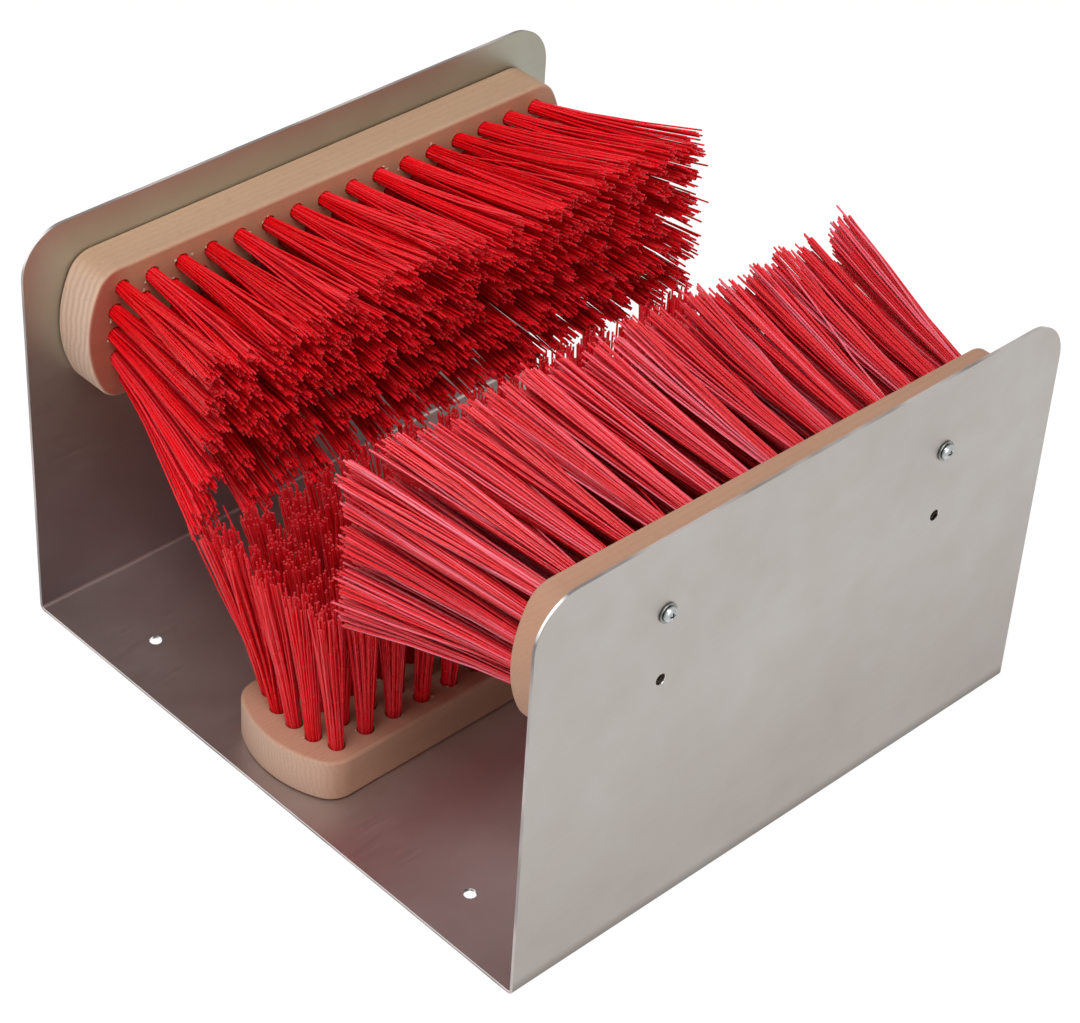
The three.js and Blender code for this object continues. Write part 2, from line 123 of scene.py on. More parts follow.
# Tufts
OUTER_ROW_OFFSET = 22
INNER_ROW_OFFSET = 11.5
OUTER_ROW_LENGTH = 237
INNER_ROW_LENGTH = 245
MIDDLE_ROW_LENGTH = 246.6
OUTER_ROW_TUFTS = 16
INNER_ROW_TUFTS = 17
MIDDLE_ROW_TUFTS = 16
BRISTLE_LENGTH = 89
FILAMENTS = 52  # in a tuft
FILAMENT_RADIUS = 0.47
TUFT_RADIUS = 3.1  # out to the filaments' middles, in the hole
TIP_RADIUS = 7.8  # the same, at the trimmed ends
LOCKS = 5  # that a tuft parts into, about one in its middle
LOCK_OFFSET = 0.66  # of their middles, as a share of the tuft's radius
LOCK_SPREAD = 0.66  # how wide a lock is at the ends, as a share of its fair width
TIP_ROW_OFFSET = 33.5  # of the outer rows, at the trimmed ends
TIP_ROW_LENGTH = 273  # of every row, at the trimmed ends
SIDE_TIPS = {"left": (-0.5, 152.5), "right": (-3, 155.5)}  # y and z of the middle of their ends
LEFT_SAG = 6  # of the left brush's lowest row, at the trimmed ends
BRISTLE_LOOKS = {  # painted sheen, painted highlight streaks on the palest filaments, gloss, and brightness of the red, lower on the right as painted shade
    "left": (0.0, 0.12, 0.10, 1.0),
    "right": (0.08, 0.86, 0.33, 0.86),
    "bottom": (0.04, 0.22, 0.15, 1.0),
}
STRAY_SHARE = 0.03  # of the filaments
FAN_POWER = 1.15  # above 1, filaments leave the hole together and part farther out
FILAMENT_START = 1.5  # how deep in the holes the filaments start
FILAMENT_STEPS = 3
FILAMENT_SIDES = 6
BOX_CLEARANCE = 0.3  # between the bristles and the sides of the CAD box
LENGTH_SPREAD = 1.8  # standard deviations, from here on
TUFT_LEAN = 1.5
LOCK_LEAN = 0.9
TIP_SCATTER = 1.0
STRAY_SCATTER = 6
BOW = 0.9
SHADE_SPREAD = 0.22
LOCK_SHADE_SPREAD = 0.10

# Fasteners
PAN_HEAD_RADIUS = 3.5
PAN_HEAD_HEIGHT = 2.2
PAN_HEAD_RIM = 0.5
HEAD_BREAK = 0.15  # of heads and washers
FLAT_HEAD_BREAK = 0.1
SHANK_RADIUS = 1.75
SHANK_LENGTH = 16
SHANK_POINT = 4
WASHER_RADIUS = 4.5
WASHER_BORE = 2.15
WASHER_THICKNESS = 0.8
FLAT_HEAD_RADIUS = 3.5
FLAT_SHANK_LENGTH = 15
RECESS_SPAN = 4.2
RECESS_WIDTH = 1.1
RECESS_DEPTH = 1.5
RECESS_TAPER = 0.45  # its width at the bottom, as a share of that above the head
RECESS_OVERCUT = 1

# Light in a filament
CLOUDINESS = 0.5  # how much of the light enters a filament before it is scattered
CLOUD_REACH = (0.8, 0.1, 0.1)  # how far it gets there, for red, green and blue

SEED = 7

# Which of its piece's materials a surface has, where it isn't the first one
SHEARED, DRILLED = 1, 2  # of the sheet's
TORN, BORED = 1, 2  # of the wood's

# Smooth shading, up to these angles in degrees
SHEET_SMOOTH = 20
WOOD_SMOOTH = 35
FASTENER_SMOOTH = 40

# Patterns, as features a millimetre along X, Y and Z
STEEL_MOTTLE = (0.05, 0.05, 0.05)
STEEL_PATCHES = (0.012, 0.012, 0.012)
STEEL_GRAIN = (1.2, 0.05, 1.2)
EDGE_STREAKS = (0.02, 0.02, 0.02)
RIM_STREAKS = (0.35, 0.35, 0.35)
ZINC_CLOUDS = (0.5, 0.5, 0.5)
BEECH_FLECKS = (1.5, 0.28, 1.5)
BEECH_PORES = (4.5, 0.35, 4.5)
BEECH_CAST = (0.035, 0.012, 0.035)
FIBRE_STREAKS = (2.5, 2.5, 2.5)
BORE_SHADE_PATCHES = (0.6, 0.6, 0.6)
RED_MOTTLE = (0.15, 0.15, 0.15)
SEED_STEPS = (1.7, 2.3, 3.1)  # how far a seed moves the patterns of the wood
RING_WAVE = 0.03  # how little the rings change along the grain
RING_WOBBLE = 9

# Spans of a pattern, a shade or a direction's part, from none of a look to all of it
NOISE_SPAN = (0.3, 0.7)
STREAK_SPAN = (0.42, 0.58)
GLINT_SPAN = (0.25, 0.42)
LONG_RING_SPAN = (0.2, 1.0)
END_RING_SPAN = (0.1, 0.9)
FACE_SPAN = (0.7, 0.98)
END_SPAN = (0.45, 0.95)
FLECK_SPAN = (0.60, 0.72)
PORE_SPAN = (0.35, 0.75)
STREAK_SHEEN_SPAN = (0.55, 0.85)
TIP_SHEEN_SPAN = (0.7, 1.0)

# Places between which a look changes, in millimetres
OUTER_FADE = (0.1, 0.7)  # outwards from the plates' inner faces
BEND_SHADE_FADE = (1, 8)  # heights, from here on
OUTSIDE_FADE = (20, 110)
INSIDE_FADE = (60, 150)
TOP_FADE = (110, 150)
FOOT_FADE = (3, 95)
BASE_FADE = (1.6, 3)
FRONT_FADE = (-150, -95)  # places along Y, from here on
TOP_REAR_FADE = (-80, 120)
RED_SHADE_FADE = (-124, -114)

# How much of one colour is in another
STEEL_DULLED = 0.35
BEND_SHADE_SHARE = 0.8
LONG_RINGS = 0.18
FLECK_SHARE = 0.4
PORE_SHARE = 0.16
RED_MOTTLED = 0.3
TIP_SHEEN_SHARE = 0.22

# Roughness, from one end of a pattern to the other, and the bumps' strength and height
STEEL_ROUGHNESS = (0.40, 0.46)
STEEL_GRAIN_ROUGHNESS = 0.05
EDGE_ROUGHNESS = (0.36, 0.24)
RIM_ROUGHNESS = (0.4, 0.25)
ZINC_ROUGHNESS = (0.16, 0.3)
BEECH_ROUGHNESS = (0.52, 0.66)
RED_ROUGHNESS = (0.2, 0.3)
FIBRE_ROUGHNESS = 0.8
BORE_ROUGHNESS = 0.9
STEEL_BUMP = (0.04, 0.02)
BEECH_BUMP = (0.12, 0.08)

# Colours, as linear red, green and blue
STEEL_WARM = (0.455, 0.420, 0.393)
STEEL_COOL = (0.482, 0.460, 0.434)
STEEL_DULL = (0.405, 0.370, 0.348)
# painted shade at the outside of the folds
BEND_SHADE_COLOUR = (0.130, 0.118, 0.102)
OUTSIDE_LOW_SHADE = (0.84, 0.81, 0.81)  # painted reflection and shade on the sheet, as tints down to UNTINTED
INSIDE_LOW_REFLECTION = (1.00, 0.86, 0.85)
INSIDE_HIGH_REFLECTION = (1.00, 1.04, 0.91)
INSIDE_BASE_REFLECTION = (1.02, 1.09, 1.12)
INSIDE_FOOT_SHADE = (0.64, 0.68, 0.74)
INSIDE_FRONT_SHADE = (0.90, 0.90, 0.90)
INSIDE_REAR_LIGHT = (1.30, 1.30, 1.30)
TOP_REAR_SHADE = (0.80, 0.80, 0.80)
UNTINTED = (1, 1, 1)
# sheared edges: dark partly as painted reflection, with a painted glint at the round corners
EDGE_DARK = (0.23, 0.205, 0.198)
EDGE_BRIGHT = (0.48, 0.43, 0.415)
EDGE_GLINT = (0.95, 0.93, 0.90)
# painted shade and painted glints on the rims of the sheet's holes
RIM_SHADE = (0.08, 0.075, 0.07)
RIM_GLINT = (0.95, 0.94, 0.92)
SCREW_DARK = (0.32, 0.34, 0.34)
SCREW_BRIGHT = (0.56, 0.58, 0.58)
WASHER_DARK = (0.16, 0.165, 0.155)
WASHER_BRIGHT = (0.30, 0.305, 0.29)
BEECH_PALE = (0.570, 0.365, 0.235)
BEECH_PINK = (0.530, 0.325, 0.205)
BEECH_RING = (0.420, 0.245, 0.150)
BEECH_FLECK = (0.300, 0.160, 0.092)
END_PALE = (0.535, 0.380, 0.275)
END_DARK = (0.445, 0.305, 0.215)
BEECH_LOOKS = {  # tints, partly tone and partly painted light and shade, then how the rings look: beech() says what each value is
    "left": dict(
        long=(0.83, 0.84, 0.84), end=(1.25, 1.22, 1.29), face=(0.97, 0.80, 0.72),
        painted_red_shade=(0.74, 0.38, 0.38), pith=(12, 95), rings=0.095, contrast=1.0,
    ),
    "right": dict(
        long=(0.79, 0.69, 0.68), end=(0.96, 0.73, 0.63), face=(0.95, 0.80, 0.72),
        painted_red_shade=(1, 1, 1), pith=(42, 46), rings=0.16, contrast=0.15,
    ),
    "bottom": dict(
        long=(0.87, 0.76, 0.78), end=(1.08, 0.99, 1.00), face=(1, 1, 1),
        painted_red_shade=(1, 1, 1), pith=(110, 12), rings=0.16, contrast=0.5,
    ),
}
FIBRE_PALE = (0.780, 0.640, 0.500)
FIBRE_TAN = (0.560, 0.380, 0.240)
# painted shade inside the spare screw holes
BORE_SHADE_DARK = (0.020, 0.013, 0.010)
BORE_SHADE_BROWN = (0.060, 0.036, 0.025)
RED_DEEP = (0.630, 0.003, 0.006)
RED_BRIGHT = (0.960, 0.006, 0.014)
# painted sheen towards the filaments' ends
RED_TIP_SHEEN = (0.820, 0.030, 0.045)
# painted sheen and highlight streaks on the filaments
RED_SHEEN = (0.820, 0.178, 0.242)
RED_CUT = (0.620, 0.055, 0.065)

# Studio
WORLD_LIGHT = 0.36
FLOOR_SIZE = 6000
FLOOR_GAP = 0.05  # between the floor and the sheet, so that they don't flicker
FLOOR_WHITE = 1.10
FLOOR_GLOW = 0.85  # how much of the floor's look is background white
FLOOR_PAINT = (0.92, 0.92, 0.92)
LAMPS = [
    # name, place, what it points at, size, watts
    ("key", (250, -620, 1450), (0, 0, 80), (620, 620), 15),
    ("fill", (1500, -200, 700), (0, 0, 100), (1000, 1000), 8.5),
]


def cad_box(node):
    """A CAD node's two opposite corners and its middle, in millimetres."""
    low, high = (Vector(corner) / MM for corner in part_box(node))
    return low, high, (low + high) / 2


# Meshes


def added(name, data):
    """A new object in the scene."""
    made = bpy.data.objects.new(name, data)
    bpy.context.scene.collection.objects.link(made)
    return made


def mesh_object(name, vertices, faces, materials, face_materials):
    """A new object from vertices in millimetres, with its doubled vertices joined."""
    mesh = bpy.data.meshes.new(name)
    mesh.from_pydata([tuple(c * MM for c in v) for v in vertices], [], faces)
    for material in materials:
        mesh.materials.append(material)
    mesh.polygons.foreach_set("material_index", face_materials)
    work = bmesh.new()
    work.from_mesh(mesh)
    bmesh.ops.remove_doubles(work, verts=work.verts, dist=TOLERANCE * MM)
    bmesh.ops.recalc_face_normals(work, faces=work.faces)
    work.to_mesh(mesh)
    work.free()
    return added(name, mesh)


def smooth(made, angle):
    """Smooth shading up to that angle in degrees, apart from faces square to an axis."""
    made.data.set_sharp_from_angle(angle=math.radians(angle))
    curved = [max(abs(c) for c in face.normal) < SQUARE for face in made.data.polygons]
    made.data.polygons.foreach_set("use_smooth", curved)


def circle(x, y, radius, count):
    turns = [2 * math.pi * i / count for i in range(count)]
    return [(x + radius * math.cos(a), y + radius * math.sin(a)) for a in turns]


def arc(x, y, radius, start, end, count):
    turns = [start + (end - start) * i / count for i in range(count + 1)]
    return [(x + radius * math.cos(a), y + radius * math.sin(a)) for a in turns]


def inside(corners, x, y, radius):
    """Whether all corners of a triangle are on the rim of one hole."""
    return all(math.hypot(c.x - x, c.y - y) < radius + TOLERANCE for c in corners)


def filled(outline, holes, hole_middles, cuts=()):
    """Triangles over a convex outline, apart from round holes given as loops and as (x, y, radius).
    cuts are pairs of outline points that an edge has to join."""
    points = list(outline)
    edges = [(i, (i + 1) % len(outline)) for i in range(len(outline))]
    for start, end in cuts:
        edges.append((outline.index(start), outline.index(end)))
    for loop in holes:
        first = len(points)
        points.extend(loop)
        edges.extend((first + i, first + (i + 1) % len(loop)) for i in range(len(loop)))
    found = delaunay_2d_cdt([Vector(p) for p in points], edges, [], 0, NARROWEST, False)
    placed, triangles = found[0], found[2]
    kept = []
    for triangle in triangles:
        corners = [placed[i] for i in triangle]
        if not any(inside(corners, *hole) for hole in hole_middles):
            kept.append(tuple(triangle))
    return [tuple(p) for p in placed], kept


class Shell:
    """Vertices and faces of one piece, gathered from its surfaces."""

    def __init__(self):
        self.vertices = []
        self.faces = []
        self.finishes = []

    def surface(self, points, faces, finish=0):
        first = len(self.vertices)
        self.vertices.extend(points)
        self.faces.extend(tuple(first + i for i in face) for face in faces)
        self.finishes.extend([finish] * len(faces))

    def wall(self, loops, finish=0):
        """Quads between closed loops of as many points each."""
        count = len(loops[0])
        faces = []
        for low in range(0, (len(loops) - 1) * count, count):
            for i in range(count):
                j = (i + 1) % count
                faces.append((low + i, low + j, low + count + j, low + count + i))
        self.surface([p for loop in loops for p in loop], faces, finish)

    def cap(self, loop, finish=0):
        self.surface(loop, [tuple(range(len(loop)))], finish)

    def made(self, name, materials):
        return mesh_object(name, self.vertices, self.faces, materials, self.finishes)


# Materials


class Finish:
    """A material's nodes around its own shader."""

    def __init__(self, name, **sockets):
        self.material = bpy.data.materials.new(name)
        self.material.use_nodes = True
        self.tree = self.material.node_tree
        self.shader = self.tree.nodes["Principled BSDF"]
        for socket, value in sockets.items():
            self.shader.inputs[socket.replace("_", " ")].default_value = value
        self.texture = self.add("ShaderNodeTexCoord").outputs

    def add(self, kind, **settings):
        made = self.tree.nodes.new(kind)
        for setting, value in settings.items():
            setattr(made, setting, value)
        return made

    def link(self, output, socket):
        self.tree.links.new(output, socket)

    def stretched(self, scale, location=(0, 0, 0)):
        """Object coordinates in millimetres, times a scale for each axis."""
        mapping = self.add("ShaderNodeMapping")
        mapping.inputs["Scale"].default_value = [s / MM for s in scale]
        mapping.inputs["Location"].default_value = location
        self.link(self.texture["Object"], mapping.inputs["Vector"])
        return mapping.outputs["Vector"]

    def noise(self, scale, detail, location=(0, 0, 0)):
        """Noise from 0 to 1, with as many features a millimetre on each axis as scale says."""
        made = self.add("ShaderNodeTexNoise")
        made.inputs["Scale"].default_value = 1
        made.inputs["Detail"].default_value = detail
        self.link(self.stretched(scale, location), made.inputs["Vector"])
        return made.outputs["Fac"]

    def parts(self, vector):
        """The outputs X, Y and Z of a vector."""
        made = self.add("ShaderNodeSeparateXYZ")
        self.link(vector, made.inputs["Vector"])
        return made.outputs

    def where(self):
        """The place on the object, in millimetres."""
        return self.parts(self.stretched((1, 1, 1)))

    def facing(self):
        """The surface's own direction."""
        return self.parts(self.texture["Normal"])

    def maths(self, operation, *values):
        """The result of an operation on sockets and numbers."""
        made = self.add("ShaderNodeMath", operation=operation)
        for socket, value in zip(made.inputs, values):
            self.give(socket, value)
        return made.outputs["Value"]

    def ramp(self, value, low, high, start=0.0, end=1.0):
        """value from low to high, taken to start to end and held there."""
        made = self.add("ShaderNodeMapRange")
        numbers = {"From Min": low, "From Max": high, "To Min": start, "To Max": end}
        for socket, number in numbers.items():
            made.inputs[socket].default_value = number
        self.link(value, made.inputs["Value"])
        return made.outputs["Result"]

    def mixed(self, factor, first, second, blend="MIX"):
        """Two colours, each a socket or three numbers, mixed by a socket or a number."""
        made = self.add("ShaderNodeMix", data_type="RGBA", blend_type=blend)
        sockets = [socket for socket in made.inputs if socket.enabled]
        for socket, value in zip(sockets, (factor, first, second)):
            self.give(socket, value)
        return next(socket for socket in made.outputs if socket.enabled)

    def give(self, socket, value):
        if isinstance(value, bpy.types.NodeSocket):
            self.link(value, socket)
        elif isinstance(value, (tuple, list)):
            socket.default_value = (*value, 1)
        else:
            socket.default_value = value

    def bump(self, height, strength, distance):
        made = self.add("ShaderNodeBump")
        made.inputs["Strength"].default_value = strength
        made.inputs["Distance"].default_value = distance * MM
        self.link(height, made.inputs["Height"])
        self.link(made.outputs["Normal"], self.shader.inputs["Normal"])

    def dressed(self, colour, roughness=None):
        """The material, with sockets for its colour and its roughness."""
        self.link(colour, self.shader.inputs["Base Color"])
        if roughness is not None:
            self.link(roughness, self.shader.inputs["Roughness"])
        return self.material


def stainless():
    """Satin rolled sheet: faintly mottled, with a fine grain along the roll, and with painted shade
    on the outside of the folds near the floor. Tints set by place are painted reflection and shade
    of the studio and the parts around: darker low on the outside, and lighter or darker inside by
    height, by depth and by place along the channel."""
    finish = Finish("satin stainless", Metallic=1.0)
    mottle = finish.noise(STEEL_MOTTLE, 4)
    patches = finish.noise(STEEL_PATCHES, 2)
    grain = finish.noise(STEEL_GRAIN, 2)
    colour = finish.mixed(finish.ramp(mottle, *NOISE_SPAN), STEEL_WARM, STEEL_COOL)
    dull = finish.ramp(patches, *NOISE_SPAN, 0.0, STEEL_DULLED)
    colour = finish.mixed(dull, colour, STEEL_DULL)
    where = finish.where()
    across, along, height = finish.maths("ABSOLUTE", where["X"]), where["Y"], where["Z"]
    inner_face = HALF_WIDTH - SHEET_THICKNESS
    # painted reflection and shade: tints by height and by place along the channel, outside and
    # inside
    outer = finish.ramp(across, *(inner_face + depth for depth in OUTER_FADE))
    outer_shade = finish.mixed(finish.ramp(height, *OUTSIDE_FADE), OUTSIDE_LOW_SHADE, UNTINTED)
    inner_painted_light = finish.mixed(finish.ramp(height, *INSIDE_FADE), INSIDE_LOW_REFLECTION, INSIDE_HIGH_REFLECTION)
    rear = finish.mixed(finish.ramp(along, *FRONT_FADE), INSIDE_FRONT_SHADE, INSIDE_REAR_LIGHT)
    top = finish.mixed(finish.ramp(along, *TOP_REAR_FADE), UNTINTED, TOP_REAR_SHADE)
    rear = finish.mixed(finish.ramp(height, *TOP_FADE), rear, top)
    inner_painted_light = finish.mixed(1.0, inner_painted_light, rear, "MULTIPLY")
    foot = finish.mixed(finish.ramp(height, *FOOT_FADE), INSIDE_FOOT_SHADE, UNTINTED)
    foot = finish.mixed(finish.ramp(height, *BASE_FADE), INSIDE_BASE_REFLECTION, foot)
    inner_painted_light = finish.mixed(1.0, inner_painted_light, foot, "MULTIPLY")
    colour = finish.mixed(1.0, colour, finish.mixed(outer, inner_painted_light, outer_shade), "MULTIPLY")
    # painted shade along the outside of the folds, darkest near the floor
    bent = finish.maths("MULTIPLY", outer, finish.ramp(height, *BEND_SHADE_FADE, BEND_SHADE_SHARE, 0.0))
    colour = finish.mixed(bent, colour, BEND_SHADE_COLOUR)
    patched = finish.ramp(patches, *NOISE_SPAN, *STEEL_ROUGHNESS)
    grained = finish.ramp(grain, *NOISE_SPAN, 0.0, STEEL_GRAIN_ROUGHNESS)
    finish.bump(grain, *STEEL_BUMP)
    return finish.dressed(colour, finish.maths("ADD", patched, grained))


def sheared_edge():
    """The sheet's outer edges: dull and dark with brighter streaks, partly the sheared metal and
    partly painted dark reflection, and with a painted glint at the plates' round corners, where
    they face both along the channel and up."""
    finish = Finish("sheared stainless edge", Metallic=1.0)
    streaks = finish.noise(EDGE_STREAKS, 2)
    shine = finish.mixed(finish.ramp(streaks, *STREAK_SPAN), EDGE_DARK, EDGE_BRIGHT)
    facing = finish.facing()
    # painted glint where the edge faces both along the channel and up
    corner = finish.maths("MULTIPLY", finish.maths("ABSOLUTE", facing["Y"]), facing["Z"])
    glint = finish.ramp(corner, *GLINT_SPAN)
    colour = finish.mixed(glint, shine, EDGE_GLINT)
    return finish.dressed(colour, finish.ramp(streaks, *NOISE_SPAN, *EDGE_ROUGHNESS))


def drilled_edge():
    """The rims of the sheet's holes, in random patches of painted shade and painted glint."""
    finish = Finish("drilled stainless edge", Metallic=1.0)
    streaks = finish.noise(RIM_STREAKS, 2)
    shine = finish.mixed(finish.ramp(streaks, *STREAK_SPAN), RIM_SHADE, RIM_GLINT)
    return finish.dressed(shine, finish.ramp(streaks, *NOISE_SPAN, *RIM_ROUGHNESS))


def zinc(name, dark, bright):
    """Zinc plate, slightly clouded."""
    finish = Finish(name, Metallic=1.0)
    clouds = finish.noise(ZINC_CLOUDS, 3)
    colour = finish.mixed(finish.ramp(clouds, *NOISE_SPAN), dark, bright)
    return finish.dressed(colour, finish.ramp(clouds, *NOISE_SPAN, *ZINC_ROUGHNESS))


def tinted(colour, tint):
    return tuple(c * t for c, t in zip(colour, tint))


def beech(name, seed, long, end, face, painted_red_shade, pith, rings, contrast):
    """Sanded beech with its grain along Y: rings, ray flecks, fine pores, and greyer end grain.
    long, end and face tint the long grain, the end grain and the drilled face, partly as the
    block's own tone and partly as painted light and shade: lighter end grain, and a darker, redder
    drilled face. flush tints that face once more in front of the first tufts, as painted red shade
    from them. pith moves the rings' middle, rings is how many they are, and contrast is how much
    they show at the ends."""
    finish = Finish(name)
    away = tuple(seed * step for step in SEED_STEPS)
    wave = finish.add("ShaderNodeTexWave", wave_type="RINGS", rings_direction="Y")
    settings = {"Scale": rings, "Distortion": RING_WOBBLE, "Detail": 2, "Detail Scale": 0.5}
    for socket, value in settings.items():
        wave.inputs[socket].default_value = value
    middle = (pith[0], 0, pith[1])
    finish.link(finish.stretched((1, RING_WAVE, 1), middle), wave.inputs["Vector"])
    ring = wave.outputs["Fac"]
    flecks = finish.noise(BEECH_FLECKS, 2, away)
    pores = finish.noise(BEECH_PORES, 3, away)
    cast = finish.noise(BEECH_CAST, 3, away)
    pale, pink = tinted(BEECH_PALE, long), tinted(BEECH_PINK, long)
    colour = finish.mixed(finish.ramp(cast, *NOISE_SPAN), pale, pink)
    ringed = finish.ramp(ring, *LONG_RING_SPAN, 0.0, LONG_RINGS)
    colour = finish.mixed(ringed, colour, tinted(BEECH_RING, long))
    facing = finish.facing()
    # painted shade and red light from the tufts on the drilled face, stronger in front of the first
    # tufts
    drilled = finish.ramp(facing["Z"], *FACE_SPAN)
    behind = finish.ramp(finish.where()["Y"], *RED_SHADE_FADE)
    face = finish.mixed(behind, tinted(face, painted_red_shade), face)
    colour = finish.mixed(drilled, colour, finish.mixed(1.0, colour, face, "MULTIPLY"))
    end_share = finish.ramp(finish.maths("ABSOLUTE", facing["Y"]), *END_SPAN)
    pale, dark = tinted(END_PALE, end), tinted(END_DARK, end)
    end_grain = finish.mixed(finish.ramp(ring, *END_RING_SPAN, 0.0, contrast), pale, dark)
    colour = finish.mixed(end_share, colour, end_grain)
    flecked = finish.ramp(flecks, *FLECK_SPAN, 0.0, FLECK_SHARE)
    colour = finish.mixed(flecked, colour, BEECH_FLECK)
    colour = finish.mixed(finish.ramp(pores, *PORE_SPAN, 0.0, PORE_SHARE), colour, BEECH_FLECK)
    finish.bump(pores, *BEECH_BUMP)
    return finish.dressed(colour, finish.ramp(pores, *NOISE_SPAN, *BEECH_ROUGHNESS))


def torn_fibre():
    finish = Finish("torn beech fibre", Roughness=FIBRE_ROUGHNESS)
    streaks = finish.noise(FIBRE_STREAKS, 2)
    return finish.dressed(finish.mixed(finish.ramp(streaks, *NOISE_SPAN), FIBRE_PALE, FIBRE_TAN))


def bored_wood():
    """The inside of the screw holes that aren't in use, made dark with painted shade."""
    finish = Finish("bored beech", Roughness=BORE_ROUGHNESS)
    shade_patches = finish.noise(BORE_SHADE_PATCHES, 2)
    return finish.dressed(finish.mixed(finish.ramp(shade_patches, *NOISE_SPAN), BORE_SHADE_DARK, BORE_SHADE_BROWN))


def bristle_plastic(name, pale_sheen, streak_sheen, gloss, red):
    """Slightly cloudy red filament. haze is a painted sheen over all its filaments, and wear a
    painted highlight that makes its palest ones pale streaks. red is how bright its red is, lowered
    as painted shade. The strand attribute holds a filament's shade, the share of the way to its
    end, and whether a face is cut."""
    finish = Finish(
        name,
        Specular_IOR_Level=gloss,
        Subsurface_Weight=CLOUDINESS,
        Subsurface_Radius=CLOUD_REACH,
        Subsurface_Scale=MM,
    )
    strand = finish.add("ShaderNodeAttribute", attribute_name="strand")
    parts = finish.add("ShaderNodeSeparateColor")
    finish.link(strand.outputs["Color"], parts.inputs["Color"])
    shade, way, cut = (parts.outputs[part] for part in ("Red", "Green", "Blue"))
    mottle = finish.noise(RED_MOTTLE, 2)
    deep, bright = (tinted(colour, (red, 1, 1)) for colour in (RED_DEEP, RED_BRIGHT))
    colour = finish.mixed(shade, deep, bright)
    colour = finish.mixed(finish.ramp(mottle, *NOISE_SPAN, 0.0, RED_MOTTLED), colour, bright)
    # painted sheen, and painted highlight streaks on the palest filaments
    colour = finish.mixed(finish.ramp(shade, *STREAK_SHEEN_SPAN, pale_sheen, streak_sheen), colour, RED_SHEEN)
    # painted sheen towards the filaments' ends
    colour = finish.mixed(finish.ramp(way, *TIP_SHEEN_SPAN, 0.0, TIP_SHEEN_SHARE), colour, RED_TIP_SHEEN)
    colour = finish.mixed(cut, colour, RED_CUT)
    return finish.dressed(colour, finish.ramp(mottle, *NOISE_SPAN, *RED_ROUGHNESS))


# Sheet channel, made flat as a blank and then folded

HALF_WIDTH, HALF_LENGTH, PLATE_HEIGHT = cad_box("channel")[1]
BASE_REACH = HALF_WIDTH - FOLD_RADIUS  # from the middle to the folds
FOLD_MIDDLE_RADIUS = FOLD_RADIUS - SHEET_THICKNESS / 2
FOLD_LENGTH = FOLD_MIDDLE_RADIUS * math.pi / 2
BLANK_REACH = BASE_REACH + FOLD_LENGTH + PLATE_HEIGHT - FOLD_RADIUS
FOLD_STEPS = 8
HOLE_STEPS = 40
CORNER_STEPS = 20


def folded(across, y, depth):
    """Where a point of the blank comes to lie, depth being measured from the outer face."""
    side = math.copysign(1, across)
    reach = abs(across)
    if reach <= BASE_REACH:
        return (across, y, depth)
    if reach <= BASE_REACH + FOLD_LENGTH:
        turn = (reach - BASE_REACH) / FOLD_MIDDLE_RADIUS
        radius = FOLD_RADIUS - depth
        x = BASE_REACH + radius * math.sin(turn)
        return (side * x, y, FOLD_RADIUS - radius * math.cos(turn))
    height = FOLD_RADIUS + reach - BASE_REACH - FOLD_LENGTH
    return (side * (HALF_WIDTH - depth), y, height)


def on_plate(height):
    """How far across the blank a point of a plate at that height is."""
    return height - FOLD_RADIUS + BASE_REACH + FOLD_LENGTH


def fold_lines():
    steps = [BASE_REACH + FOLD_LENGTH * i / FOLD_STEPS for i in range(FOLD_STEPS + 1)]
    return [-s for s in reversed(steps)] + steps


def blank_outline(inset):
    """The blank's edge, with a point on the front and rear edges at each fold line."""
    across, along = BLANK_REACH - inset, HALF_LENGTH - inset
    radius = PLATE_CORNER_RADIUS - inset
    x, y = BLANK_REACH - PLATE_CORNER_RADIUS, HALF_LENGTH - PLATE_CORNER_RADIUS
    quarter = math.pi / 2
    outline = [(s, -along) for s in fold_lines()]
    outline += arc(x, -y, radius, -quarter, 0, CORNER_STEPS)
    outline += arc(x, y, radius, 0, quarter, CORNER_STEPS)
    outline += [(s, along) for s in reversed(fold_lines())]
    outline += arc(-x, y, radius, quarter, 2 * quarter, CORNER_STEPS)
    outline += arc(-x, -y, radius, 2 * quarter, 3 * quarter, CORNER_STEPS)
    return outline


def blank_holes():
    """Each hole's middle on the blank and its radius on the outer and the inner face."""
    holes = []
    for side in (-1, 1):
        for y in (-SIDE_HOLE_SPACING / 2, SIDE_HOLE_SPACING / 2):
            used, spare = SIDE_HOLE_DIAMETER / 2, SPARE_HOLE_DIAMETER / 2
            holes.append((side * on_plate(SIDE_HOLE_HEIGHT), y, used, used))
            spare_height = SIDE_HOLE_HEIGHT - SPARE_HOLE_DROP
            holes.append((side * on_plate(spare_height), y, spare, spare))
        for end in (-1, 1):
            x, y = HALF_WIDTH - FLOOR_HOLE_EDGE_X, HALF_LENGTH - FLOOR_HOLE_EDGE_Y
            radius = FLOOR_HOLE_DIAMETER / 2
            holes.append((side * x, end * y, radius, radius))
    for y in (-BASE_HOLE_SPACING / 2, BASE_HOLE_SPACING / 2):
        wide = BASE_HOLE_DIAMETER / 2
        holes.append((0, y, wide, wide - SHEET_THICKNESS))
    return holes


